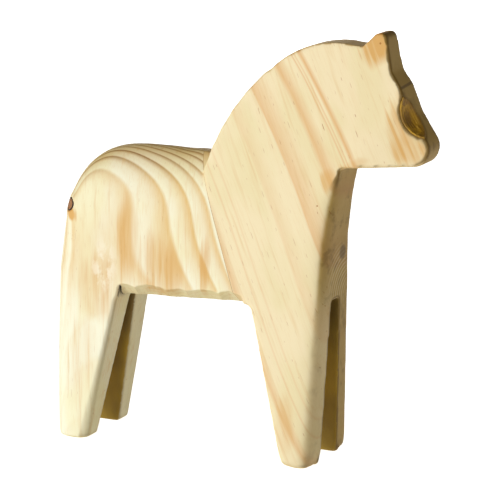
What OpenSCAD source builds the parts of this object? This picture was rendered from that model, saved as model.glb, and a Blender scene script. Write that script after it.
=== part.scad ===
/* [Horse] */
// Height from the soles to the tip of the ear
height = 200; // [150:1:260]
// Length from the rump to the nose
body_length = 185; // [150:1:230]
// Width across the soles of one pair of feet
sole_width = 46.8; // [40:0.2:60]
// Lean of each side face towards the middle, in degrees
side_lean = 4.93; // [3.5:0.01:5.2]

/* [Head] */
// Thickness of the muzzle at the tip of the nose
nose_width = 14.6; // [10:0.2:20]

/* [Legs] */
// Width of the fore slot at the floor
fore_slot_floor = 17.6; // [14:0.2:22]
// Width of the fore slot at its top
fore_slot_top = 8; // [4:0.5:12]
// Width of the hind slot at the floor
hind_slot_floor = 19.6; // [14:0.2:22]
// Width of the hind slot at its top
hind_slot_top = 3; // [2:0.5:8]
// Chamfer on the outer front corners of the legs, at the floor
leg_chamfer = 3; // [1:0.2:5]

/* [Barrel] */
// Chamfer whittled along both edges of the belly
belly_chamfer = 4.2; // [1:0.2:5]
// Radius of the upright corners behind the hind legs
rump_corner = 8.5; // [4:0.5:11]
// Superellipse power of the rump's outline
rump_power = 3.4; // [2.4:0.1:4]

/* [Glued joint] */
// Lean of the joint from upright, in degrees
joint_lean = 18.55; // [10:0.05:22]
// Thickness of the glue film
glue_film = 0.2; // [0.1:0.05:0.4]
// Diameter of the dowels
dowel_d = 8; // [6:0.5:10]
// Length of the dowels
dowel_length = 40; // [24:1:50]
// Room left for glue past each end of a dowel
dowel_gap = 1; // [0.5:0.5:2]

/* [Knot and bark pocket] */
// Diameter of the dead knot in the rump
knot_d = 5.2; // [3:0.2:8]
// Thickness of the bark sleeve round the knot
knot_bark_t = 0.5; // [0.3:0.1:1]
// Length of the knot
knot_length = 14; // [8:1:20]
// Thickness of the bark left in the hollow of the cheek
cheek_bark_t = 0.8; // [0.5:0.1:1.5]

/* [Hidden] */
$fn = 64;

// The outlines are drawn for a horse 185 long and 200 high, and stretched to the sizes above.
sx = body_length / 185;
sz = height / 200;
big = 2 * max(height, body_length);
half_sole = sole_width / 2;
function half_width(z) = half_sole - z * tan(side_lean);
function stretch(points) = [for (p = points) [p[0] * sx, p[1] * sz]];
function arc(c, r, a0, a1, n) =
    [for (i = [0:n]) let (a = a0 + (a1 - a0) * i / n) [c[0] + r * cos(a), c[1] + r * sin(a)]];

// Joint between the two blocks: a plane that leans back from the belly to the withers.
belly_z = 73.3;
joint_foot = [3.5 * sx, belly_z * sz];
function joint_x(z) = joint_foot[0] - (z - joint_foot[1]) * tan(joint_lean);

// Side view of the head, the neck, the chest and the forelegs, from the withers clockwise.
neck = arc([81.5, 104.2], 101.6, 164, 132.5, 5);
crest = arc([48.6, 148.2], 46.4, 135.5, 80, 9);
ear = concat([[60.2, 193.6], [63.2, 196.6], [65.6, 199.1], [67.1, 199.9]], arc([68.9, 197.3], 2.7, 90, 5, 4));
face = [[73.2, 189], [74.5, 183.2], [76.4, 180.3], [78.8, 176.8], [80.1, 173.6], [83.6, 165], [86.8, 160.2]];
muzzle = [[90.2, 155.4], [91.7, 153], [92.5, 150.8], [92.4, 148.5], [91.4, 145.5], [89.5, 143.1], [87, 141.9]];
throat = arc([54.4, 136], 3.1, 95, 165, 3);
chest = [[48.5, 118.4], [46.4, 104]];
fore_front = [42.3, 0];
fore_heel = [[29.6, 0], [26.9, 5]];
fore_pit = arc([7.4, belly_z - 3], 3, 15, 90, 3);
// Two points behind the joint, where the joint plane trims the block.
behind_joint = [[-4, belly_z], [-22, 132]];
fore_outline = stretch(concat(
    neck, crest, ear, face, muzzle, throat, chest, [fore_front], fore_heel, fore_pit, behind_joint
));

// The rump follows a superellipse from the hind legs up to the ridge of the back.
rear_x = -92.5;
rump_c = [-38, 60];
ridge_z = 141.4;
flank_z = 105;
function rump_t(z) = max(0, (z - rump_c[1]) / (ridge_z - rump_c[1]));
// Below the thigh the back of the leg bows forward a little, down to the heel.
thigh_z = 65;
heel_bow = 1.9;
function rump_x(z) = rump_c[0] + (rear_x - rump_c[0]) * pow(1 - pow(rump_t(z), rump_power), 1 / rump_power)
    + heel_bow * pow(max(0, 1 - z / thigh_z), 2);
function arch(z) = let (t = max(0, (z - flank_z) / (ridge_z - flank_z)))
    (half_width(z < flank_z ? z * sz : flank_z * sz)) * sqrt(1 - t * t);
// Forward end of the ridge: it runs a few millimetres past the joint, on to the neck.
ridge_front = [[134.5, -4], [138.5, -8], [139.8, -13], [140.5, -24], [141.1, -36]];
function front_x(z) = z < ridge_front[0][0]
    ? ridge_front[0][1] + 0.27 * (ridge_front[0][0] - z) : lookup(z, ridge_front);
levels = [0, 10, 25, 42, 62, 80, 92, 100, 108, 114, 120, 125, 129, 132, 134.5, 136.5, 138, 139.2, 140.2, 140.9, 141.3];

// Belly, the front of the hind legs and their soles.
belly_rear = [-57.2, 70.5];
hind_pit = arc([-56, 67.8], 3, 90, 168, 3);
hind_toe = [-73.4, 0];
hind_slot_z = 69;
fore_slot_z = 76;

// Dowels cross the joint square to it.
dowel_levels = [94, 117];

// The dead knot comes out through the right-hand corner of the rump.
knot_mouth = [-86.4, -12, 111];
knot_turn = [0, 84, 225];
knot_proud = 4;

// Sphere that scoops the hollow out of the right cheek's front edge.
cheek_scoop = [91.8, -9.6, 167.4];
scoop_r = 12.8;

// Pulls a side view out across the whole width.
module across(points) {
    rotate([90, 0, 0]) linear_extrude(height = big, center = true) polygon(points);
}

// Everything between the two leaning side faces.
module between_sides() {
    top = height + 10;
    rotate([90, 0, 90]) linear_extrude(height = big, center = true) polygon([
        [-half_width(-10), -10], [half_width(-10), -10], [half_width(top), top], [-half_width(top), top]
    ]);
}

// Slot between two legs: narrow at the top, wide at the floor.
module leg_slot(floor_w, top_w, top_z, x0, x1) {
    spread = (floor_w - top_w) / (2 * top_z);
    low = floor_w / 2 + spread;
    translate([x0, 0, 0]) rotate([90, 0, 90]) linear_extrude(height = x1 - x0) polygon([
        [-low, -1], [low, -1], [top_w / 2, top_z], [-top_w / 2, top_z]
    ]);
}

// Cuts a corner off along the edge from p to q. out points away from the wood,
// and wp and wq are the cut's width at each end.
module edge_cut(p, q, out, wp, wq) {
    w = max(wp, wq) + 2;
    a = p + out * (w - wp) / 2;
    b = q + out * (w - wq) / 2;
    d = b - a;
    turn = atan2(d[1], d[0]);
    tip = acos(d[2] / norm(d));
    translate(a) rotate([0, tip, turn]) rotate([0, 0, -turn]) cylinder(h = norm(d), r = w, $fn = 4);
}

// Half space on one side of the joint: ahead of it for side = 1, behind it for side = -1.
module joint_side(side) {
    shift = side * glue_film / 2 / cos(joint_lean);
    run = big * tan(joint_lean);
    foot = joint_foot[0] + joint_foot[1] * tan(joint_lean) + shift;
    across([[foot + run, -big], [foot - run, big], [foot + side * 2 * big, big], [foot + side * 2 * big, -big]]);
}

module dowel_at(z, length, d) {
    translate([joint_x(z * sz), 0, z * sz]) rotate([0, 90 - joint_lean, 0])
        cylinder(h = length, d = d, center = true);
}

module dowel_holes() {
    for (z = dowel_levels) dowel_at(z, dowel_length + 2 * dowel_gap, dowel_d);
}

module belly_cuts() {
    for (side = [-1, 1]) {
        y = side * half_width(belly_z * sz);
        edge_cut([belly_rear[0] * sx, y, belly_rear[1] * sz], [6 * sx, y, belly_z * sz],
            [0, side, -1], belly_chamfer, belly_chamfer);
    }
}

// Upright chamfers on the outer front corners of a pair of legs. Each runs a little past the sole.
module leg_cuts(toe, top) {
    past = 0.1;
    for (side = [-1, 1]) {
        a = [toe[0] * sx, side * half_width(0), 0];
        b = [top[0] * sx, side * half_width(top[1] * sz), top[1] * sz];
        edge_cut(a + past * (a - b), b, [1, side, 0], leg_chamfer * (1 + past), 0);
    }
}

// The muzzle is thinner than the slab that the head is cut from.
module muzzle_cuts() {
    x0 = 57 * sx;
    y0 = half_width(140 * sz);
    for (side = [0, 1]) mirror([0, side, 0]) translate([0, 0, 130 * sz]) linear_extrude(height = 80 * sz)
        polygon([[x0, y0], [body_length / 2, nose_width / 2], [big, nose_width / 2], [big, big], [x0, big]]);
}

module fore_slab() {
    difference() {
        intersection() {
            across(fore_outline);
            between_sides();
            joint_side(1);
        }
        muzzle_cuts();
    }
}

// The rounded ridge of the back carries on over the joint and dies into the neck.
module saddle() {
    intersection() {
        hind_blank();
        joint_side(1);
        translate([-30 * sx, -10, 129 * sz]) cube([28 * sx, 20, 20 * sz]);
    }
}

module cheek_hollow(inset) {
    translate([cheek_scoop[0] * sx, cheek_scoop[1], cheek_scoop[2] * sz]) sphere(r = scoop_r - inset);
}

module fore_section() {
    color("#ecdcb0") difference() {
        union() {
            fore_slab();
            saddle();
        }
        leg_slot(fore_slot_floor, fore_slot_top, fore_slot_z * sz, 5 * sx, 60 * sx);
        leg_cuts(fore_front, [46.6, 104]);
        belly_cuts();
        dowel_holes();
        cheek_hollow(0);
    }
}

// Level slice of the hind block: two rounded corners behind, square in front.
module hind_slice(z) {
    w = arch(z);
    r = min(rump_corner, w - 0.02);
    x0 = rump_x(z) * sx;
    x1 = max(front_x(z) * sx, x0 + r + 1);
    translate([0, 0, z * sz]) linear_extrude(height = 0.02) polygon(concat(
        arc([x0 + r, -(w - r)], r, 270, 180, 7), arc([x0 + r, w - r], r, 180, 90, 7), [[x1, w], [x1, -w]]
    ));
}

module hind_blank() {
    hull() for (z = levels) hind_slice(z);
}

module hind_body() {
    difference() {
        hind_blank();
        across(stretch(concat([[big, belly_z], [3.5, belly_z]], hind_pit, [hind_toe, hind_toe - [0, 1], [big, -1]])));
        leg_slot(hind_slot_floor, hind_slot_top, hind_slot_z * sz, -110 * sx, -40 * sx);
        leg_cuts(hind_toe, [-57.5, 72]);
        belly_cuts();
    }
}

// Round stock that runs in from the knot's mouth.
module knot_stock(d) {
    translate([knot_mouth[0] * sx, knot_mouth[1], knot_mouth[2] * sz]) rotate(knot_turn)
        translate([0, 0, -knot_length]) cylinder(h = knot_length + knot_proud, d = d);
}

module hind_section() {
    color("#e9d6a4") difference() {
        intersection() {
            hind_body();
            joint_side(-1);
        }
        dowel_holes();
        knot_stock(knot_d + 2 * knot_bark_t);
    }
}

module glue_line() {
    color("#9c7a45") difference() {
        hind_body();
        joint_side(1);
        joint_side(-1);
        dowel_holes();
    }
}

module upper_dowel() {
    color("#d9b98a") dowel_at(dowel_levels[1], dowel_length, dowel_d);
}

module lower_dowel() {
    color("#d9b98a") dowel_at(dowel_levels[0], dowel_length, dowel_d);
}

module rump_knot() {
    color("#a9713d") intersection() {
        hind_body();
        knot_stock(knot_d);
    }
}

module rump_knot_bark() {
    color("#3d2414") difference() {
        intersection() {
            hind_body();
            knot_stock(knot_d + 2 * knot_bark_t);
        }
        knot_stock(knot_d);
    }
}

module cheek_bark() {
    color("#7d6420") difference() {
        intersection() {
            fore_slab();
            cheek_hollow(0);
        }
        cheek_hollow(cheek_bark_t);
    }
}

fore_section();
hind_section();
glue_line();
upper_dowel();
lower_dowel();
rump_knot();
rump_knot_bark();
cheek_bark();
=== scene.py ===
from math import cos, pi, radians, sin

import bmesh
import bpy
import numpy as np
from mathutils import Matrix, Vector


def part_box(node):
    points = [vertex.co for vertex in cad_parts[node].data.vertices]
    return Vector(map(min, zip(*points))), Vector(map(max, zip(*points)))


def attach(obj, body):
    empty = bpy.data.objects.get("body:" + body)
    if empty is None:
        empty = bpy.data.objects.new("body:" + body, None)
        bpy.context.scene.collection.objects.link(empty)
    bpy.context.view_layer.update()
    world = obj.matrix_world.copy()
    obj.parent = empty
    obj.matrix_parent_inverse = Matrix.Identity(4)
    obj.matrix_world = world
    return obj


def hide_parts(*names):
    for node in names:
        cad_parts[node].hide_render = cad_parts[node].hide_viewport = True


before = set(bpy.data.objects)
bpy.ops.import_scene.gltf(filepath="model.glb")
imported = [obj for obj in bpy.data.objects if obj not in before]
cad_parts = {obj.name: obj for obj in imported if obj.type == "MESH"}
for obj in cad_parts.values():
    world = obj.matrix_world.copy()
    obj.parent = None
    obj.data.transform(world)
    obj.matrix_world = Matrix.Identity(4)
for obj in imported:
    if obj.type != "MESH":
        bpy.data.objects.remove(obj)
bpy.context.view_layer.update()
mm = 0.001


# A socket that can be used like a number.
class Wire:
    def __init__(self, bench, socket):
        self.bench = bench
        self.socket = socket

    def maths(self, operation, *values, clamp=False):
        return self.bench.node("ShaderNodeMath", {"operation": operation, "use_clamp": clamp},
                               dict(enumerate(values or (self,))))

    def __add__(self, other):
        return self.maths("ADD", self, other)

    __radd__ = __add__

    def __sub__(self, other):
        return self.maths("SUBTRACT", self, other)

    def __rsub__(self, other):
        return self.maths("SUBTRACT", other, self)

    def __mul__(self, other):
        return self.maths("MULTIPLY", self, other)

    __rmul__ = __mul__

    def __truediv__(self, other):
        return self.maths("DIVIDE", self, other)

    def __rtruediv__(self, other):
        return self.maths("DIVIDE", other, self)

    def __pow__(self, other):
        return self.maths("POWER", self, other)

    def __abs__(self):
        return self.maths("ABSOLUTE")

    def atLeast(self, low):
        return self.maths("MAXIMUM", self, low)

    def fraction(self):
        return self.maths("FRACT")

    def clamped(self):
        return self.maths("ADD", self, 0.0, clamp=True)


# Puts nodes into one tree and wires them up.
class Bench:
    def __init__(self, tree):
        self.tree = tree

    def node(self, kind, settings=None, inputs=None, output=0):
        made = self.tree.nodes.new(kind)
        for name, value in (settings or {}).items():
            if name == "stops":
                ramp = made.color_ramp
                while len(ramp.elements) > 1:
                    ramp.elements.remove(ramp.elements[-1])
                for i, (place, shade) in enumerate(value):
                    stop = ramp.elements[0] if i == 0 else ramp.elements.new(place)
                    stop.position = place
                    stop.color = (shade, shade, shade, 1)
            else:
                setattr(made, name, value)
        for key, value in (inputs or {}).items():
            socket = made.inputs[key]
            if isinstance(value, Wire):
                self.tree.links.new(value.socket, socket)
            else:
                socket.default_value = value
        return Wire(self, made.outputs[output])

    def split(self, vector):
        node = self.node("ShaderNodeSeparateXYZ", None, {0: vector}).socket.node
        return [Wire(self, node.outputs[i]) for i in range(3)]

    def join(self, x, y, z):
        return self.node("ShaderNodeCombineXYZ", None, {0: x, 1: y, 2: z})

    def between(self, value, low, high):
        # 0 up to low, 1 from high, with soft ends
        return self.node("ShaderNodeMapRange", {"interpolation_type": "SMOOTHSTEP"},
                         {"Value": value, "From Min": low, "From Max": high})

    def fades(self, value, low, high):
        # 1 up to low, 0 from high
        return self.node("ShaderNodeMapRange", {"interpolation_type": "SMOOTHSTEP"},
                         {"Value": value, "From Min": low, "From Max": high,
                          "To Min": 1.0, "To Max": 0.0})

    def noise(self, place, size, detail=2.0, rough=0.5):
        return self.node("ShaderNodeTexNoise", None,
                         {"Vector": place, "Scale": 1.0 / size, "Detail": detail, "Roughness": rough})

    def tint(self, amount, under, over, way="MIX"):
        return self.node("ShaderNodeMix", {"data_type": "RGBA", "blend_type": way},
                         {0: amount, 6: under, 7: over}, output=2)

    def blob(self, place, centre, radii):
        # 1 in the middle of an ellipsoid, 0 at its edge
        x, y, z = place
        total = ((x - centre[0]) / radii[0]) ** 2 + ((y - centre[1]) / radii[1]) ** 2
        return self.fades(total + ((z - centre[2]) / radii[2]) ** 2, 0.0, 1.0)


def colour(r, g, b):
    # screen values 0..255 to the linear values that the shader wants
    return tuple(((c / 255 + 0.055) / 1.055) ** 2.4 if c > 10 else c / 3295 for c in (r, g, b)) + (1,)


view = {
    "target": (2.2, 0.0, 94.85),
    "azimuth": 25.403,
    "elevation": 12.815,
    "distance": 1150.0,
    "lens": 179.64,
    "sensor": 36.0,
}


def placeCamera():
    target = Vector(view["target"]) * mm
    az, el = radians(view["azimuth"]), radians(view["elevation"])
    back = Vector((sin(az) * cos(el), -cos(az) * cos(el), sin(el)))
    data = bpy.data.cameras.new("camera")
    data.lens = view["lens"]
    data.sensor_width = view["sensor"]
    camera = bpy.data.objects.new("camera", data)
    bpy.context.scene.collection.objects.link(camera)
    camera.location = target + back * view["distance"] * mm
    camera.rotation_euler = back.to_track_quat("Z", "Y").to_euler()
    bpy.context.scene.camera = camera


studio = {
    "floor": 30.0,
    "floorColour": (0.86, 0.86, 0.85, 1),
    "floorRough": 0.8,
    "floorGlow": 0.95,
    "ambient": 0.52,
    "zenithLoss": 0.95,  # how much darker the sky is overhead
    "ambientColour": (1.0, 0.88, 0.62, 1),
    "lampColour": (1.0, 0.995, 0.97),
    # name, the direction it stands in, distance and size in metres, power
    "lamps": [
        ("key", (-0.50, -1.0, 0.12), 1.8, 1.0, 26.0),
        ("rear", (-0.50, 1.0, 0.06), 1.8, 1.0, 10.0),
    ],
}


def lightStudio():
    scene = bpy.context.scene
    scene.view_settings.view_transform = "Standard"
    world = bpy.data.worlds.new("studio")
    world.use_nodes = True
    sky = next(n for n in world.node_tree.nodes if n.type == "BACKGROUND")
    sky.inputs["Color"].default_value = studio["ambientColour"]
    bench = Bench(world.node_tree)
    height = bench.split(bench.node("ShaderNodeTexCoord", None, None, output="Generated"))[2]
    strength = (1.0 - height.atLeast(0.0) * studio["zenithLoss"]) * studio["ambient"]
    world.node_tree.links.new(strength.socket, sky.inputs["Strength"])
    scene.world = world
    aim = Vector(view["target"]) * mm
    for name, direction, distance, size, power in studio["lamps"]:
        data = bpy.data.lights.new(name, "AREA")
        data.shape = "DISK"
        data.size = size
        data.energy = power
        data.color = studio["lampColour"]
        lamp = bpy.data.objects.new(name, data)
        scene.collection.objects.link(lamp)
        away = Vector(direction).normalized()
        lamp.location = aim + away * distance
        lamp.rotation_euler = away.to_track_quat("Z", "Y").to_euler()


placeCamera()
lightStudio()
print("camera and lights are placed")


def newMaterial(name):
    material = bpy.data.materials.new(name)
    material.use_nodes = True
    bench = Bench(material.node_tree)
    shader = next(n for n in material.node_tree.nodes if n.type == "BSDF_PRINCIPLED")
    where = bench.node("ShaderNodeTexCoord", None, None, output="Object")
    place = bench.node("ShaderNodeVectorMath", {"operation": "SCALE"}, {0: where, "Scale": 1 / mm})
    return material, bench, shader, place  # the place is in mm


def finishShader(bench, shader, base, rough, height, depth):
    links = bench.tree.links
    links.new(base.socket, shader.inputs["Base Color"])
    links.new(rough.socket, shader.inputs["Roughness"])
    bump = bench.node("ShaderNodeBump", None, {"Strength": 1.0, "Distance": depth * mm, "Height": height})
    links.new(bump.socket, shader.inputs["Normal"])


pine = {
    "streak": colour(226, 194, 136),
    "resin": colour(178, 112, 50),
    "stain": colour(222, 176, 106),
    # painted shade for the front faces and the underside
    "shade": colour(210, 190, 134),
    "shadeDeep": colour(168, 142, 78),
    # painted shade for surfaces that face up
    "top": colour(228, 208, 172),
    "ringDark": colour(96, 74, 34),
    # painted shade in the slots between the legs
    "slotShadeDark": colour(130, 102, 2),
    "slotShadePale": colour(182, 148, 4),
    "slotShadeTop": colour(70, 52, 4),
    # painted shade on the front faces and along their edges
    "paintedShade": colour(112, 86, 16),
    "white": colour(255, 250, 236),
    # painted shade in the saw cut
    "kerfShade": colour(40, 26, 12),
    # the resin canals: one dash in some cells of this width and length, mm
    "dashCell": 2.4,
    "dashLong": 8.5,
    "dashWide": (0.07, 0.4),  # half widths across the grain and through it, in cells
    "dashHalf": (0.06, 0.22),  # shortest half length, and how much longer it may be
    "bump": 0.09,
    "shine": 0.35,
}

foreGrain = {
    "from": -45.0, "to": 145.0,  # the part of the growth that the rings below describe
    "lean": radians(24),
    "bend": (0.455, 0.00088, 0.0000089),  # how the sheets lean, bow and hook with height
    "early": colour(248, 237, 205),
    "cool": colour(242, 232, 194),
    "late": colour(227, 182, 126),
    "lateDark": colour(172, 134, 84),
    "frontShade": 1.0,
    # place across the grain in mm, strength of the latewood there, softness before and after it
    "rings": [(-30, 0.25, 3, 3), (-15.5, 0.68, 2, 4), (-6.3, 0.42, 0.8, 0.7), (-1, 0.44, 0.6, 0.6),
              (18.4, 0.3, 1.2, 8), (34.4, 0.7, 0.8, 11), (53.5, 0.8, 2.6, 6), (64.1, 0.7, 0.35, 0.3),
              (65.5, 0.7, 0.35, 0.4), (68.2, 1.0, 0.9, 2.6)],
    # middle, radii and strength of each warm patch
    "stains": [((68, -7, 197), (9, 14, 12), 1.4), ((85, -8, 150), (12, 12, 9), 0.9),
               ((47, -12, 134), (4, 6, 7), 0.6), ((31, -22, 22), (6, 8, 18), 0.5),
               ((80, -8, 163), (8, 9, 15), 0.9), ((58, -10, 141), (7, 4, 3), 0.5)],
    "resinSpots": [((44.0, -14.6, 103.2), 0.9), ((68.6, -7, 195.6), 0.7), ((41.5, -13, 121.5), 0.5)],
    "dashFields": [((43, -13, 122), (9, 12, 18), 1.5), ((45, -10, 165), (24, 20, 22), 0.7)],
    "dashes": 0.5,  # strength of the dashes outside those fields
    # the front: a dark ring across the forehead, a small knot on the chest and the arcs round it
    "browHeight": 176.8,
    "browHalf": (0.25, 0.9),
    "chestKnot": ((46.5, 6.0, 97.0), (6, 4.6, 4.2)),
    "arcsAbout": (17.0, 76.0),
    "arcs": ((46, 2, 86), (9, 13, 19)),
}

hindGrain = {
    "from": 305.0, "to": 335.0,
    "lean": radians(2),
    "pith": (74.8, 336.0),  # how far behind the origin the pith runs, and how far to the right
    "bend": ((0.483, 0.00039), (0.11, 0.00145)),  # how its line leans and bows, each way
    "early": colour(252, 254, 238),
    "cool": colour(250, 250, 222),
    "late": colour(230, 197, 134),
    "lateDark": colour(156, 116, 66),
    "frontShade": 0.25,
    "rings": [(309.8, 0.45, 1.6, 0.6), (314.5, 0.48, 1.4, 0.5), (317.9, 0.45, 1.0, 0.4),
              (320, 0.42, 0.6, 0.3), (321.6, 0.7, 0.8, 0.3), (323.85, 0.9, 0.9, 0.3),
              (325.85, 1.0, 0.8, 0.25), (327.7, 0.9, 0.7, 0.25), (329.35, 0.95, 0.6, 0.25),
              (331.2, 0.95, 0.6, 0.25)],
    "evenFrom": 331.2,  # past this ring they are evenly spaced
    "spacing": 1.85,
    "stains": [((-54, -16, 99), (7.5, 12, 26), 0.7), ((-28.5, -17, 86), (5, 10, 18), 0.6),
               ((-13, -17, 88), (3.6, 10, 17), 0.7), ((-38, -17, 86), (12, 12, 22), 0.75),
               ((-68, -18, 74), (14, 14, 20), 0.6), ((-76, -21, 40), (8, 10, 30), 0.25),
               ((-84, -14, 108), (5, 6, 5), 1.3)],
    "dashFields": [],
    "dashes": 0.3,
    "pale": ((-66, -19, 84), (9, 12, 17)),  # torn, whitish wood on the rump
    "specks": ((-83, -14, 97), (5, 6, 5)),  # resin specks under the knot
}


def foreGrowth(bench, place):
    # leaning sheets that bend a little, measured along X
    x, y, z = bench.split(place)
    dz = z - 120.0
    lean, bow, hook = foreGrain["bend"]
    wave = bench.noise(bench.join(x * 0.6, y, z * 0.16), 14.0, 1.0) - 0.5
    return x + dz * lean + dz * dz * bow + dz * dz * dz * hook + y * 0.06 + 0.7 + wave * 1.6


def hindGrowth(bench, place):
    # rings round a far pith whose line bends
    x, y, z = bench.split(place)
    dz = z - 100.0
    behind, aside = hindGrain["pith"]
    (lean, bow), (sideLean, sideBow) = hindGrain["bend"]
    wave = bench.noise(bench.join(x, y, z * 0.3), 22.0, 1.5) - 0.5
    across = x + behind + dz * lean + dz * dz * bow
    deep = y + aside - dz * sideLean - dz * dz * sideBow
    return (across * across + deep * deep) ** 0.5 + wave * 0.5


def grainPlace(place, lean):
    # across the grain, through it, and along it
    x, y, z = place
    return x * cos(lean) + z * sin(lean), y, z * cos(lean) - x * sin(lean)


def ringStops(grain, width):
    # a rise, a line and a fall for each ring
    span = grain["to"] - grain["from"]
    stops = []
    for place, strength, before, after in grain["rings"]:
        stops += [(place - before * width, 0.1 * strength), (place, strength),
                  (place + after, 0.08 * strength)]
    return [((place - grain["from"]) / span, shade) for place, shade in sorted(stops)]


def latewood(bench, grain, growth, z, nz):
    # how much dark latewood shows, and where the rings are seen from above
    step = (growth - grain["from"]) / (grain["to"] - grain["from"])
    late = bench.node("ShaderNodeValToRGB", {"stops": ringStops(grain, 1.0)}, {0: step})
    if grain is foreGrain:
        return late, bench.between(nz, 0.3, 0.8)
    even = grain["evenFrom"]
    phase = ((growth - even) / grain["spacing"]).fraction()
    comb = bench.between(phase, 0.2, 0.9) * bench.fades(phase, 0.92, 1.0)
    outer = bench.between(growth, even + 0.3, even + 0.4)
    over = bench.between(z, 104.0, 128.0) * bench.between(nz, 0.15, 0.6)
    broad = bench.node("ShaderNodeValToRGB", {"stops": ringStops(grain, 2.2)}, {0: step})
    narrow = late * (1.0 - outer) + comb * outer * 0.8
    late = narrow * (0.35 + 0.65 * over) + broad * (0.65 - 0.65 * over)
    return late * (0.25 + 0.75 * bench.between(z, 58.0, 88.0)), over


def resinDashes(bench, grain, grained, place):
    # short dashes along the grain, one in some cells: their shape, and how strongly they show
    across, through, along = grained
    cellPlace = bench.join(across / pine["dashCell"], through / pine["dashCell"], along / pine["dashLong"])
    cell = bench.node("ShaderNodeTexVoronoi", {"feature": "F1"}, {"Vector": cellPlace, "Scale": 1.0},
                      output="Position")
    pick = Wire(bench, cell.socket.node.outputs["Color"])
    off = bench.node("ShaderNodeVectorMath", {"operation": "SUBTRACT"}, {0: cellPlace, 1: cell})
    ox, oy, oz = bench.split(off)
    px, py, pz = bench.split(pick)
    (wide, thick), (short, more) = pine["dashWide"], pine["dashHalf"]
    reach = (ox / wide) ** 2 + (oy / thick) ** 2 + (oz / (short + more * py)) ** 2
    dash = bench.fades(reach, 0.55, 1.0)
    field = grain["dashes"]
    for centre, radii, strength in grain["dashFields"]:
        field = field + bench.blob(place, centre, radii) * strength
    dash = dash * bench.between(px, 0.35, 0.5)
    return dash, (dash * (0.15 + 0.75 * pz) * field).clamped()


def foreFront(bench, base, forward, place):
    x, y, z = place
    brow = bench.fades(abs(z - y * 0.06 - foreGrain["browHeight"]), *foreGrain["browHalf"])
    brow = brow * forward * bench.between(x, 68.0, 71.0)
    base = bench.tint(brow * 0.75, base, pine["ringDark"])
    middleY, middleZ = foreGrain["arcsAbout"]
    spread = ((y - middleY) ** 2 + ((z - middleZ) / 1.1) ** 2) ** 0.5
    arcs = bench.between((spread * 0.62 + 0.2 * y).fraction(), 0.35, 0.8)
    near = bench.blob(place, *foreGrain["arcs"]) * forward
    base = bench.tint(arcs * near * 0.35, base, foreGrain["early"])
    chestKnot = bench.blob(place, *foreGrain["chestKnot"])
    return bench.tint((chestKnot * 1.4 * forward).clamped() * 0.7, base, pine["ringDark"])


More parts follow.
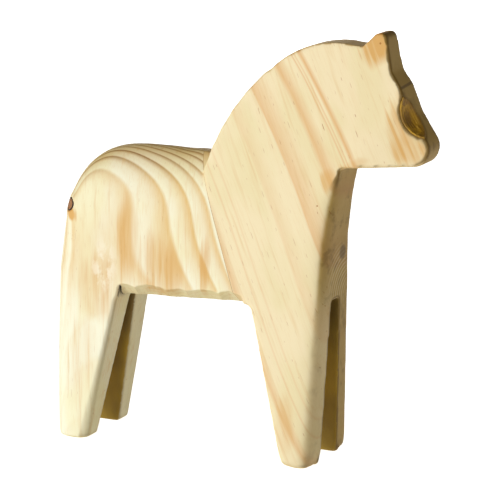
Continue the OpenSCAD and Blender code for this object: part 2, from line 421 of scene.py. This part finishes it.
def pineWood(name, grain, growthOf):
    material, bench, shader, where = newMaterial(name)
    place = x, y, z = bench.split(where)
    normal = bench.node("ShaderNodeNewGeometry", None, None, output="Normal")
    nx, ny, nz = bench.split(normal)
    late, over = latewood(bench, grain, growthOf(bench, where), z, nz)
    grained = across, through, along = grainPlace(place, grain["lean"])
    # fine fibres, broader streaks and clouds, all long along the grain
    fibre = bench.noise(bench.join(across, through, along * 0.03), 0.75, 3.0, 0.6)
    streaks = bench.noise(bench.join(across, through * 0.5, along * 0.035), 2.6, 3.0, 0.6)
    clouds = bench.noise(bench.join(across, through, along * 0.45), 16.0, 2.0)
    base = bench.tint(bench.between(clouds, 0.42, 0.66), grain["early"], grain["cool"])
    under = bench.fades(nz, -0.7, -0.1)  # the cut edges under the belly show little of the rings
    lateAmount = (late * (0.76 + 0.5 * fibre) * (1.0 - 0.7 * under)).clamped()
    base = bench.tint(lateAmount, base, bench.tint(over * late, grain["late"], grain["lateDark"]))
    base = bench.tint(bench.between(streaks, 0.52, 0.78) * 0.5, base, pine["streak"])
    base = bench.tint(bench.between(fibre, 0.5, 0.8) * 0.22, base, pine["streak"])
    ragged = (x + (clouds - 0.5) * 9.0 + (streaks - 0.5) * 9.0, y, z + (clouds - 0.5) * 14.0)
    for centre, radii, strength in grain["stains"]:
        patch = bench.blob(ragged, centre, radii) * (2.2 * streaks + 0.6 * late - 0.4) * strength
        base = bench.tint(patch.clamped(), base, pine["stain"])
    if grain is hindGrain:
        torn = bench.between(bench.noise(bench.join(x, y, z * 0.6), 4.5, 4.0, 0.6), 0.45, 0.62)
        base = bench.tint(bench.blob(place, *grain["pale"]) * torn * 0.7, base, pine["white"])
    dash, dashTone = resinDashes(bench, grain, grained, place)
    base = bench.tint(dashTone, base, pine["resin"])
    if grain is hindGrain:
        specks = bench.noise(where, 0.8, 1.0)
        speck = bench.between(specks, 0.68, 0.74) * bench.blob(place, *grain["specks"])
        base = bench.tint(speck * 0.6, base, pine["resin"])
    else:
        for centre, size in grain["resinSpots"]:
            spot = bench.blob(place, centre, (size, size * 1.6, size))
            base = bench.tint((spot * 1.6).clamped() * 0.85, base, pine["resin"])
    # painted shade: surfaces that face up are darkened, and so are those that face down
    base = bench.tint(bench.between(nz, 0.2, 0.8), base, pine["top"], "MULTIPLY")
    base = bench.tint(under * 0.55, base, pine["shade"], "MULTIPLY")
    # the front is partly end grain, which is duller, and partly painted shade, deeper up the head,
    # mottled, and lighter low on the near leg
    shade = grain["frontShade"]
    forward = bench.between(nx, 0.35, 0.75)
    forward = forward * (1.0 - 0.7 * bench.fades(y, -8.0, -2.0) * bench.fades(z, 55.0, 96.0))
    shadedEndGrain = bench.tint(1.0, base, pine["shade"], "MULTIPLY")
    deep = (0.2 + 0.5 * clouds + 0.45 * bench.between(z, 138.0, 156.0)).clamped()
    base = bench.tint(forward * shade, base, bench.tint(deep, shadedEndGrain, pine["shadeDeep"]))
    # mottled painted shade on the front faces
    blots = bench.noise(where, 7.0, 3.0, 0.6)
    base = bench.tint(forward * bench.between(blots, 0.5, 0.72) * shade * 0.5, base, pine["paintedShade"])
    if grain is foreGrain:
        base = foreFront(bench, base, forward, place)
    # painted shade: edges that face forward and a little down are darkened
    paintedShade = bench.node("ShaderNodeAttribute", {"attribute_name": "edgeShade"}, None, output="Fac")
    paintedShade = (paintedShade * bench.between(nx, 0.05, 0.3) * bench.between(nz, -0.6, -0.2)).clamped()
    base = bench.tint(paintedShade * (0.2 + 0.65 * shade), base, pine["paintedShade"])
    # painted shade: the slots between the legs are dark, most of all at the top, and the walls of the saw
    # cut are painted near black
    slot = bench.node("ShaderNodeAttribute", {"attribute_name": "slotWall"}, None, output="Fac")
    wall = bench.tint(bench.between(clouds, 0.3, 0.7), pine["slotShadeDark"], pine["slotShadePale"])
    base = bench.tint(slot * 0.97, base, wall)
    base = bench.tint(slot * bench.between(z, 44.0, 74.0) * 0.7, base, pine["slotShadeTop"])
    paintedKerfShade = bench.node("ShaderNodeAttribute", {"attribute_name": "paintedKerfShade"}, None, output="Fac")
    base = bench.tint(paintedKerfShade, base, pine["kerfShade"])
    rough = 0.62 + 0.14 * fibre - late * 0.08
    height = 0.5 * fibre + 0.3 * streaks - dash * 0.3
    finishShader(bench, shader, base, rough, height, pine["bump"])
    shader.inputs["Specular IOR Level"].default_value = pine["shine"]
    return material


carving = {
    "voxel": 0.72,
    "sandRounds": 7,
    "legRounds": 14,
    "bodyRounds": 110,
    "cornerRounds": 190,
    "jointShift": -0.25,  # the visible joint lies this far behind the fore block's face, mm
    "film": 0.2,
    "sharpAngle": radians(38),
    # each pair below is where a change begins and where it is complete, mm
    "jointBand": (1.5, 4.0), "jointFoot": (74, 78),
    "knotRim": (4.0, 8.0),
    "earFoot": (190, 194),
    "rimAhead": (30, 36), "rimAside": (9.5, 11), "rimFoot": (3, 8), "rimHead": (80, 86),
    "legHead": (66, 74),
    "bodyBehind": (2.0, 9.0), "bodyFoot": (79, 92),
    "cornerAhead": (28, 35), "cornerAside": (12, 15), "cornerHead": (122, 136),
    "cornerTaper": 0.0863,  # the blank narrows this much for each mm of height
    "leftWear": 0.3,
}


def meshCopy(nodeName, name):
    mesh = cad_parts[nodeName].data.copy()
    mesh.materials.clear()
    piece = bpy.data.objects.new(name, mesh)
    bpy.context.scene.collection.objects.link(piece)
    work = bmesh.new()
    work.from_mesh(mesh)
    bmesh.ops.remove_doubles(work, verts=work.verts, dist=1e-6)
    work.to_mesh(mesh)
    work.free()
    return piece


def joined(pieces, name):
    work = bmesh.new()
    for piece in pieces:
        work.from_mesh(piece.data)
    mesh = bpy.data.meshes.new(name)
    work.to_mesh(mesh)
    work.free()
    for piece in pieces:
        bpy.data.objects.remove(piece)
    result = bpy.data.objects.new(name, mesh)
    bpy.context.scene.collection.objects.link(result)
    return result


def settle(piece):
    # the modifiers' result becomes the piece's own mesh
    shaped = piece.evaluated_get(bpy.context.evaluated_depsgraph_get())
    mesh = bpy.data.meshes.new_from_object(shaped)
    piece.modifiers.clear()
    old = piece.data
    piece.data = mesh
    bpy.data.meshes.remove(old)
    return piece


def remeshed(piece, voxel):
    change = piece.modifiers.new("remesh", "REMESH")
    change.mode = "VOXEL"
    change.voxel_size = voxel * mm
    return settle(piece)


def readPoints(mesh):
    points = np.empty(len(mesh.vertices) * 3)
    mesh.vertices.foreach_get("co", points)
    return points.reshape(-1, 3) * 1000


def readEdges(mesh):
    edges = np.empty(len(mesh.edges) * 2, np.int32)
    mesh.edges.foreach_get("vertices", edges)
    return edges.reshape(-1, 2)


def writePoints(mesh, points):
    mesh.vertices.foreach_set("co", (points / 1000).astype(np.float32).ravel())
    mesh.update()


def relax(points, edges, weight, rounds):
    total = len(points)
    near = np.concatenate([edges[:, 0], edges[:, 1]])
    far = np.concatenate([edges[:, 1], edges[:, 0]])
    used = weight[near] > 0.001
    near, far = near[used], far[used]
    count = np.maximum(np.bincount(near, minlength=total), 1)
    pull = np.where(weight > 0.001, 0.5 * weight, 0.0)
    for _ in range(rounds):
        for k in range(3):
            mean = np.bincount(near, points[far, k], total) / count
            points[:, k] += (mean - points[:, k]) * pull
    return points


def ease(value, low, high):
    t = np.clip((value - low) / (high - low), 0, 1)
    return t * t * (3 - 2 * t)


def middle(nodeName):
    low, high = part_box(nodeName)
    return np.array((low + high) / 2) * 1000


# The two dowels cross the joint square to it, so their middles give the joint's plane.
jointPoint = middle("lower_dowel")
jointRise = middle("upper_dowel") - jointPoint
jointRise = jointRise / np.linalg.norm(jointRise)
jointNormal = np.array([jointRise[2], 0.0, -jointRise[0]])
knotMouth = np.array([-86.4, -12.0, 111.0])  # where the knot breaks the surface


def aheadOfJoint(points):
    return (points - jointPoint) @ jointNormal


def carveBlank():
    sources = ("fore_section", "hind_section", "glue_line")
    blank = joined([meshCopy(name, name) for name in sources], "blank")
    remeshed(blank, carving["voxel"])
    mesh = blank.data
    points, edges = readPoints(mesh), readEdges(mesh)
    print("blank has", len(points), "points")
    x, y, z = points.T
    ahead = aheadOfJoint(points)
    nearJoint = (1 - ease(np.abs(ahead), *carving["jointBand"])) * ease(z, *carving["jointFoot"])
    nearKnot = 1 - ease(np.linalg.norm(points - knotMouth, axis=1), *carving["knotRim"])
    ear = ease(z, *carving["earFoot"])
    slotRim = ease(x, *carving["rimAhead"]) * (1 - ease(np.abs(y), *carving["rimAside"]))
    slotRim = slotRim * ease(z, *carving["rimFoot"]) * (1 - ease(z, *carving["rimHead"]))
    # the joint, the knot, the ears and the rims of the slots stay crisp
    sand = 1 - 0.75 * nearJoint - 0.9 * nearKnot * (1 - nearJoint) - 0.6 * ear
    sand = np.clip(sand, 0, 1) * (1 - 0.7 * slotRim)
    relax(points, edges, sand, carving["sandRounds"])
    # the legs and the whole hind body are rounded further
    legs = (1 - ease(z, *carving["legHead"])) * (1 - 0.9 * slotRim)
    relax(points, edges, legs, carving["legRounds"])
    body = ease(-ahead, *carving["bodyBehind"]) * ease(z, *carving["bodyFoot"]) * (1 - nearKnot)
    relax(points, edges, body, carving["bodyRounds"])
    # the outer front corners of the fore legs and the chest are worn most
    corner = ease(x, *carving["cornerAhead"]) * (1 - ease(z, *carving["cornerHead"]))
    corner *= ease(np.abs(y) + z * carving["cornerTaper"], *carving["cornerAside"])
    corner *= np.where(y < 0, 1.0, carving["leftWear"])
    height = z.copy()
    relax(points, edges, corner, carving["cornerRounds"])
    points[:, 2] = height * corner + points[:, 2] * (1 - corner)  # the soles stay flat
    writePoints(mesh, points)
    return blank


# Whittled cuts along both edges of the belly, as a tree of nodes.
whittling = {
    "Cut Length": 13.0,
    "Cut Depth": 2.0,
    "Edge Offset": 60.4,
    "Seed": 11,
}


def newTree(name, sizes, material):
    # an input for the shape, one for each size and one for the material
    tree = bpy.data.node_groups.new(name, "GeometryNodeTree")
    tree.interface.new_socket("Geometry", in_out="INPUT", socket_type="NodeSocketGeometry")
    for label, value in sizes.items():
        kind = "NodeSocketInt" if isinstance(value, int) else "NodeSocketFloat"
        socket = tree.interface.new_socket(label, in_out="INPUT", socket_type=kind)
        socket.default_value = value
    tree.interface.new_socket(material, in_out="INPUT", socket_type="NodeSocketMaterial")
    tree.interface.new_socket("Geometry", in_out="OUTPUT", socket_type="NodeSocketGeometry")
    bench = Bench(tree)
    source = tree.nodes.new("NodeGroupInput")
    wires = {socket.name: Wire(bench, socket) for socket in source.outputs if socket.name}
    return tree, bench, wires


def placeInMm(bench):
    where = bench.node("GeometryNodeInputPosition")
    return bench.split(bench.node("ShaderNodeVectorMath", {"operation": "SCALE"},
                                  {0: where, "Scale": 1 / mm}))


def endTree(bench, geometry, material):
    real = bench.node("GeometryNodeRealizeInstances", None, {"Geometry": geometry})
    painted = bench.node("GeometryNodeSetMaterial", None, {"Geometry": real, "Material": material})
    end = bench.tree.nodes.new("NodeGroupOutput")
    bench.tree.links.new(painted.socket, end.inputs[0])


def applyTree(piece, tree, values):
    change = piece.modifiers.new(tree.name, "NODES")
    change.node_group = tree
    for item in tree.interface.items_tree:
        if item.item_type == "SOCKET" and item.in_out == "INPUT" and item.name in values:
            change[item.identifier] = values[item.name]
    return settle(piece)


def whittleTree():
    tree, bench, wires = newTree("whittledBelly", whittling, "Wood")
    x, y, z = placeInMm(bench)
    side = y.maths("SIGN")
    # one cut after another along each edge, of uneven length and depth
    wander = bench.noise(bench.join(x, side * 40.0, 0.0), 17.0, 1.0) - 0.5
    run = (x + side * 4.7 + wander * 14.0) / wires["Cut Length"]
    cell = run.maths("FLOOR")
    inCut = run.fraction() * 2.0 - 1.0
    chance = bench.node("FunctionNodeRandomValue", {"data_type": "FLOAT"},
                        {2: 0.15, 3: 1.0, "ID": cell + side * 50.0, "Seed": wires["Seed"]}, output=1)
    chip = bench.noise(bench.join(x, y, z), 2.2, 2.0) - 0.5
    tear = bench.noise(bench.join(x, side * 20.0, 0.0), 4.0, 2.0) - 0.5
    depth = wires["Cut Depth"] * (chance * (1.0 - inCut * inCut) + 0.12) + chip * 0.5 + tear
    rise = (6.0 - x).atLeast(0.0) * 0.0444  # the belly rises towards the back
    out = (abs(y) - z - rise + wires["Edge Offset"]) * (0.5 ** 0.5)
    # only between the legs, and only low on the sides
    band = bench.between(x, -59.0, -55.0) * bench.fades(x, 2.0, 7.0)
    band = band * bench.between(z, 64.0, 67.0) * bench.fades(z, 80.0, 83.0)
    move = (out + depth).atLeast(0.0) * band * (-0.5 ** 0.5) * mm
    shift = bench.join(0.0, move * side, 0.0 - move)
    moved = bench.node("GeometryNodeSetPosition", None,
                       {"Geometry": wires["Geometry"], "Offset": shift})
    endTree(bench, moved, wires["Wood"])
    return tree


# The slots between the legs: the way in along X, the roof's height, half the width under it,
# and how much wider each side gets for each mm down.
slots = (
    {"faces": 1, "inside": 4, "roof": 75.5, "from": 76, "half": 4.4, "flare": 0.063},
    {"faces": -1, "inside": 40, "roof": 69, "from": 69, "half": 2.2, "flare": 0.12},
)


def inSlot(slot, x, y, z):
    half = slot["half"] + (slot["from"] - z) * slot["flare"]
    mark = ease(slot["faces"] * x, slot["inside"], slot["inside"] + 2)
    return mark * (1 - ease(z, slot["roof"], slot["roof"] + 1.5)) * (1 - ease(np.abs(y), half, half + 1.2))


def markSurface(mesh):
    # painted edge shade, slot walls and the saw cut's mark, as values on the points
    points, edges = readPoints(mesh), readEdges(mesh)
    normals = np.empty(len(points) * 3)
    mesh.vertices.foreach_get("normal", normals)
    normals = normals.reshape(-1, 3)
    soft = relax(points.copy(), edges, np.ones(len(points)), 10)
    proud = ((points - soft) * normals).sum(1)
    x, y, z = points.T
    inside = sum(inSlot(slot, x, y, z) for slot in slots)
    marks = {
        "edgeShade": ease(proud, 0.04, 0.16),
        "slotWall": np.clip(inside, 0, 1) * (np.abs(normals[:, 1]) > 0.4),
        "paintedKerfShade": np.zeros(len(points)),
    }
    for name, values in marks.items():
        layer = mesh.attributes.get(name) or mesh.attributes.new(name, "FLOAT", "POINT")
        layer.data.foreach_set("value", values.astype(np.float32))


def cutBlock(source, name, near, far, bores):
    # keeps what lies between two offsets from the joint's plane; near or far may be None
    work = bmesh.new()
    work.from_mesh(source.data)
    faced = []
    for offset, keepAhead in ((near, True), (far, False)):
        if offset is None:
            continue
        point = Vector(jointPoint + jointNormal * offset) * mm
        bmesh.ops.bisect_plane(work, geom=work.verts[:] + work.edges[:] + work.faces[:], dist=1e-7,
                               plane_co=point, plane_no=Vector(jointNormal),
                               clear_inner=keepAhead, clear_outer=not keepAhead)
        rim = [e for e in work.edges if e.is_boundary and all(
            abs((v.co - point).dot(Vector(jointNormal))) < 1e-6 for v in e.verts)]
        facing = Vector(jointNormal) * (-1 if keepAhead else 1)
        faced.append(capCut(work, rim, point, facing, bores))
    if not bores:
        # the film's walls round the dowels
        for nearRing, farRing in zip(*faced):
            for i, vert in enumerate(nearRing):
                j = (i + 1) % len(nearRing)
                work.faces.new((vert, nearRing[j], farRing[j], farRing[i]))
        bmesh.ops.recalc_face_normals(work, faces=work.faces)
    mesh = bpy.data.meshes.new(name)
    work.to_mesh(mesh)
    work.free()
    mesh.shade_smooth()
    mesh.set_sharp_from_angle(angle=carving["sharpAngle"])
    piece = bpy.data.objects.new(name, mesh)
    bpy.context.scene.collection.objects.link(piece)
    return piece


dowelling = {
    "radius": 4.0, "length": 40.0,
    "flutes": 20, "fluteDepth": 0.2, "tip": 1.2,
    "gap": 1.0, "drillPoint": 0.6, "boreSides": 48,  # the bore past each end, mm
    "pale": colour(222, 184, 138), "warm": colour(200, 156, 108), "fleck": colour(150, 104, 66),
}


def capCut(work, rim, point, facing, bores):
    # closes a cut, with a blind bore or only a round hole for each dowel
    across = Vector((0, 1, 0))
    up = Vector(jointNormal).cross(across)
    rings = []
    for nodeName in ("lower_dowel", "upper_dowel"):
        centre = Vector(middle(nodeName)) * mm
        centre = centre - facing * (centre - point).dot(facing)
        ring = []
        for i in range(dowelling["boreSides"]):
            turn = 2 * pi * i / dowelling["boreSides"]
            out = across * cos(turn) + up * sin(turn)
            ring.append(work.verts.new(centre + out * dowelling["radius"] * mm))
        rings.append((centre, ring))
    hoops = []
    for centre, ring in rings:
        hoops += [work.edges.new((ring[i], ring[(i + 1) % len(ring)])) for i in range(len(ring))]
    made = bmesh.ops.triangle_fill(work, use_beauty=True, use_dissolve=False, edges=rim + hoops,
                                   normal=facing)
    faces = [g for g in made["geom"] if isinstance(g, bmesh.types.BMFace)]
    for face in faces:
        if face.normal.dot(facing) < 0:
            face.normal_flip()
    if not bores:
        return [ring for centre, ring in rings]
    depth = (dowelling["length"] / 2 + dowelling["gap"]) * mm
    for centre, ring in rings:
        inner = [work.verts.new(v.co - facing * depth) for v in ring]
        tip = work.verts.new(centre - facing * (depth + dowelling["drillPoint"] * mm))
        count = len(ring)
        for i in range(count):
            j = (i + 1) % count
            wall = work.faces.new((ring[i], ring[j], inner[j], inner[i]))
            floor = work.faces.new((inner[i], inner[j], tip))
            for face, towards in ((wall, centre - facing * depth / 2), (floor, centre)):
                face.normal_update()
                if face.normal.dot(towards - face.calc_center_median()) < 0:
                    face.normal_flip()


# The saw ran a few millimetres past the corner above the hind legs.
kerf = {
    "width": 0.8,
    "foot": (-58.5, 67.6), "top": (-57.0, 75.4),
    "reach": 40,  # to either side
    "taper": 0.7, "shoulder": 0.3, "nose": 0.15,  # the rounded end
    # painted shade on the saw cut's walls: how far along it starts, and how dark it is
    "kerfShadeFrom": 2.5, "kerfShade": 0.95,
}


def sawBlade():
    foot, top = (Vector((kerf[end][0], 0, kerf[end][1])) for end in ("foot", "top"))
    run = (top - foot).normalized()
    wide = Vector((run.z, 0, -run.x)) * kerf["width"] / 2
    end, shoulder = wide * kerf["taper"], run * kerf["shoulder"]
    outline = (foot - wide, foot + wide, top + end - shoulder, top + run * kerf["nose"],
               top - end - shoulder)
    work = bmesh.new()
    loops = []
    for y in (-kerf["reach"], kerf["reach"]):
        side = Vector((0, y, 0))
        loops.append([work.verts.new((point + side) * mm) for point in outline])
    count = len(loops[0])
    for i in range(count):
        j = (i + 1) % count
        work.faces.new((loops[0][i], loops[0][j], loops[1][j], loops[1][i]))
    work.faces.new(loops[0])
    work.faces.new(loops[1])
    bmesh.ops.recalc_face_normals(work, faces=work.faces)
    mesh = bpy.data.meshes.new("sawBlade")
    work.to_mesh(mesh)
    work.free()
    blade = bpy.data.objects.new("sawBlade", mesh)
    bpy.context.scene.collection.objects.link(blade)
    return blade


def dropSpares(mesh):
    # the cut leaves points in the middle of straight edges, which would make slivers
    work = bmesh.new()
    work.from_mesh(mesh)
    spares = [v for v in work.verts if len(v.link_edges) == 2]
    bmesh.ops.dissolve_verts(work, verts=spares)
    work.to_mesh(mesh)
    work.free()


def kerfShade(piece):
    # paints shade, near black, on the walls of the saw cut
    mesh = piece.data
    points = readPoints(mesh)
    foot, top = np.array(kerf["foot"]), np.array(kerf["top"])
    run = (top - foot) / np.linalg.norm(top - foot)
    off = points[:, [0, 2]] - foot
    along = off @ run
    aside = np.abs(off @ np.array([run[1], -run[0]]))
    inside = (aside < kerf["width"] / 2 + 0.05) & (along > kerf["kerfShadeFrom"])
    inside &= along < np.linalg.norm(top - foot) + 0.3
    layer = mesh.attributes["paintedKerfShade"]
    layer.data.foreach_set("value", inside.astype(np.float32) * kerf["kerfShade"])


def carveHorse():
    foreWood = pineWood("pineFore", foreGrain, foreGrowth)
    hindWood = pineWood("pineHind", hindGrain, hindGrowth)
    blank = carveBlank()
    print("blank is sanded")
    applyTree(blank, whittleTree(), {**whittling, "Wood": foreWood})
    markSurface(blank.data)
    shift, film = carving["jointShift"], carving["film"]
    foreBlock = cutBlock(blank, "foreBlock", shift, None, True)
    glueFilm = cutBlock(blank, "glueFilm", shift - film, shift, False)
    hindBlock = cutBlock(blank, "hindBlock", None, shift - film, True)
    blade = sawBlade()
    cut = hindBlock.modifiers.new("kerf", "BOOLEAN")
    cut.object = blade
    cut.operation = "DIFFERENCE"
    cut.solver = "EXACT"
    settle(hindBlock)
    dropSpares(hindBlock.data)
    bpy.data.objects.remove(blade)
    bpy.data.objects.remove(blank)
    kerfShade(hindBlock)
    hindBlock.data.shade_smooth()
    hindBlock.data.set_sharp_from_angle(angle=carving["sharpAngle"])
    for piece, wood, node, slot in ((foreBlock, foreWood, "fore_section", "pine_fore"),
                                    (hindBlock, hindWood, "hind_section", "pine_hind"),
                                    (glueFilm, glueMaterial(), "glue_line", "wood_glue")):
        piece.data.materials.clear()
        piece.data.materials.append(wood)
        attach(piece, "root")
        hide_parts(node)
        print(piece.name, len(piece.data.polygons), "faces")


glue = {"thin": colour(150, 112, 62), "thick": colour(206, 170, 112), "blots": 3.0, "bump": 0.02}


def glueMaterial():
    material, bench, shader, place = newMaterial("driedGlue")
    blots = bench.noise(place, glue["blots"], 3.0)
    base = bench.tint(blots, glue["thin"], glue["thick"])
    finishShader(bench, shader, base, 0.35 + 0.2 * blots, blots, glue["bump"])
    return material


def dowelTree(sizes):
    tree, bench, wires = newTree("flutedDowel", sizes, "Wood")
    rod = bench.node("GeometryNodeMeshCylinder", {"fill_type": "NGON"},
                     {"Vertices": wires["Flutes"] * 8.0, "Side Segments": 40,
                      "Radius": wires["Radius"], "Depth": wires["Length"]})
    where = bench.node("GeometryNodeInputPosition")
    x, y, z = bench.split(where)
    groove = (y.maths("ARCTAN2", y, x) * wires["Flutes"]).maths("COSINE")
    fromEnd = wires["Length"] * 0.5 - abs(z)
    tip = (1.0 - fromEnd / wires["Tip"]).atLeast(0.0)
    shrink = (groove * 0.5 + 0.5) * wires["Flute Depth"] + tip * tip * wires["Radius"] * 0.22
    factor = 0.0 - shrink / wires["Radius"]
    moved = bench.node("GeometryNodeSetPosition", None,
                       {"Geometry": rod, "Offset": bench.join(x * factor, y * factor, 0.0)})
    endTree(bench, moved, wires["Wood"])
    return tree


def beechWood():
    material, bench, shader, place = newMaterial("beech")
    x, y, z = bench.split(place)
    fleck = bench.noise(bench.join(x * 0.2, y, z), 0.5, 2.0)
    tone = bench.noise(bench.join(x * 0.1, y, z), 1.6, 2.0)
    base = bench.tint(tone, dowelling["pale"], dowelling["warm"])
    base = bench.tint(bench.between(fleck, 0.6, 0.7) * 0.6, base, dowelling["fleck"])
    finishShader(bench, shader, base, 0.55 + 0.1 * fleck, fleck, 0.03)
    return material


def makeDowels():
    sizes = {"Radius": dowelling["radius"] * mm, "Length": dowelling["length"] * mm,
             "Flutes": dowelling["flutes"], "Flute Depth": dowelling["fluteDepth"] * mm,
             "Tip": dowelling["tip"] * mm}
    tree, wood = dowelTree(sizes), beechWood()
    for nodeName, name in (("upper_dowel", "upperDowel"), ("lower_dowel", "lowerDowel")):
        rod = bpy.data.objects.new(name, bpy.data.meshes.new(name))
        bpy.context.scene.collection.objects.link(rod)
        applyTree(rod, tree, {**sizes, "Wood": wood})
        turned = Vector(jointNormal).to_track_quat("Z", "Y").to_matrix().to_4x4()
        turned.translation = Vector(middle(nodeName)) * mm
        rod.data.transform(turned)
        rod.data.shade_smooth()
        rod.data.set_sharp_from_angle(angle=radians(40))
        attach(rod, "root")
        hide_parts(nodeName)
    print("dowels are fluted")


bark = {
    "cheek": {
        "dark": colour(134, 98, 3), "mid": colour(182, 140, 6), "light": colour(208, 168, 66),
        "lean": radians(28.5), "streak": 1.6, "bump": 0.08, "voxel": 0.24, "ridge": 0.3,
        "darkLine": 152.5, "paleFrom": 154.5,  # places across the streaks
    },
    "ring": {
        "dark": colour(34, 18, 8), "mid": colour(64, 38, 18), "light": colour(104, 68, 38),
        "lean": 0.0, "streak": 0.8, "bump": 0.15, "voxel": 0.16, "ridge": 0.12,
    },
}


tearing = {"Ridge Width": 1.0, "Ridge Height": 0.3, "Lean": 0.0, "Seed": 3.0}


def tornTree():
    # ridges that run one way, torn across
    tree, bench, wires = newTree("tornBark", tearing, "Bark")
    x, y, z = placeInMm(bench)
    c, s = wires["Lean"].maths("COSINE"), wires["Lean"].maths("SINE")
    across, along = x * c + z * s, z * c - x * s
    ridges = bench.noise(bench.join(across + wires["Seed"], y, along * 0.14), wires["Ridge Width"], 3.0)
    rips = bench.noise(bench.join(across, y + wires["Seed"], along), 1.7, 2.0)
    normal = bench.node("GeometryNodeInputNormal")
    lift = ((ridges - 0.5) * 1.6 + (rips - 0.5) * 0.6) * wires["Ridge Height"] * mm
    shift = bench.node("ShaderNodeVectorMath", {"operation": "SCALE"}, {0: normal, "Scale": lift})
    moved = bench.node("GeometryNodeSetPosition", None,
                       {"Geometry": wires["Geometry"], "Offset": shift})
    endTree(bench, moved, wires["Bark"])
    return tree


def barkMaterial(name, looks):
    material, bench, shader, place = newMaterial(name)
    x, y, z = bench.split(place)
    lean = looks["lean"]
    across, along = x * cos(lean) + z * sin(lean), z * cos(lean) - x * sin(lean)
    streak = bench.noise(bench.join(across, y, along * 0.1), looks["streak"], 3.0, 0.55)
    cloud = bench.noise(place, 4.0, 2.0)
    base = bench.tint(bench.between(streak, 0.36, 0.56), looks["dark"], looks["mid"])
    scuffed = bench.between(cloud, 0.45, 0.7) * bench.between(streak, 0.45, 0.65)
    base = bench.tint(scuffed, base, looks["light"])
    if "darkLine" in looks:
        wander = (cloud - 0.5) * 1.6
        line = bench.fades(abs(across + wander - looks["darkLine"]), 0.3, 1.1)
        base = bench.tint(line * 0.75, base, looks["dark"])
        pale = bench.between(across + wander, looks["paleFrom"], looks["paleFrom"] + 1.2)
        base = bench.tint(pale * 0.8, base, looks["light"])
    finishShader(bench, shader, base, 0.55 + 0.2 * streak, streak, looks["bump"])
    return material


knot = {
    "centre": (-52.6, 111.0),  # across the knot's mouth, and up
    "pale": colour(176, 124, 78), "brown": colour(122, 76, 40), "crack": colour(48, 26, 12),
    "voxel": 0.2, "ridge": 0.1,
}


def knotMaterial():
    material, bench, shader, place = newMaterial("knotWood")
    x, y, z = bench.split(place)
    across = (x - y) * 0.707 - knot["centre"][0]
    spread = (across ** 2 + ((z - knot["centre"][1]) / 1.4) ** 2) ** 0.5
    wobble = bench.noise(place, 1.2, 2.0)
    ring = ((spread + wobble * 0.7) * 1.6).fraction()
    base = bench.tint(bench.between(ring, 0.4, 0.9), knot["pale"], knot["brown"])
    crack = bench.fades(abs(across + (wobble - 0.5) * 2.0), 0.05, 0.22)
    base = bench.tint(crack * 0.8, base, knot["crack"])
    finishShader(bench, shader, base, 0.6 + 0.1 * wobble, ring - crack, 0.12)
    return material


def makeKnots():
    tree = tornTree()
    cheek, ring = bark["cheek"], bark["ring"]
    pieces = (
        ("cheek_bark", "cheekBark", "bark", cheek, cheek["lean"], barkMaterial("cheekBark", cheek)),
        ("rump_knot_bark", "knotBark", "bark", ring, pi / 2, barkMaterial("knotBark", ring)),
        ("rump_knot", "knotCore", "knot_wood", knot, pi / 2, knotMaterial()),
    )
    for seed, (nodeName, name, slot, looks, lean, wood) in enumerate(pieces):
        piece = remeshed(meshCopy(nodeName, name), looks["voxel"])
        applyTree(piece, tree, {**tearing, "Ridge Height": looks["ridge"], "Lean": lean,
                                "Seed": tearing["Seed"] + seed, "Bark": wood})
        piece.data.materials.clear()
        piece.data.materials.append(wood)
        piece.data.shade_smooth()
        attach(piece, "root")
        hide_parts(nodeName)
        print(name, len(piece.data.polygons), "faces")


def makeFloor():
    mesh = bpy.data.meshes.new("floor")
    half = studio["floor"] / 2
    mesh.from_pydata([(-half, -half, 0), (half, -half, 0), (half, half, 0), (-half, half, 0)],
                     [], [(0, 1, 2, 3)])
    floor = bpy.data.objects.new("floor", mesh)
    bpy.context.scene.collection.objects.link(floor)
    material = bpy.data.materials.new("paleFloor")
    material.use_nodes = True
    shader = next(n for n in material.node_tree.nodes if n.type == "BSDF_PRINCIPLED")
    shader.inputs["Base Color"].default_value = studio["floorColour"]
    shader.inputs["Roughness"].default_value = studio["floorRough"]
    shader.inputs["Emission Color"].default_value = (1, 1, 1, 1)
    shader.inputs["Emission Strength"].default_value = studio["floorGlow"]
    mesh.materials.append(material)
    floor.visible_diffuse = False
    print("floor is laid")


makeFloor()
carveHorse()
makeDowels()
makeKnots()
print("all pieces are made")
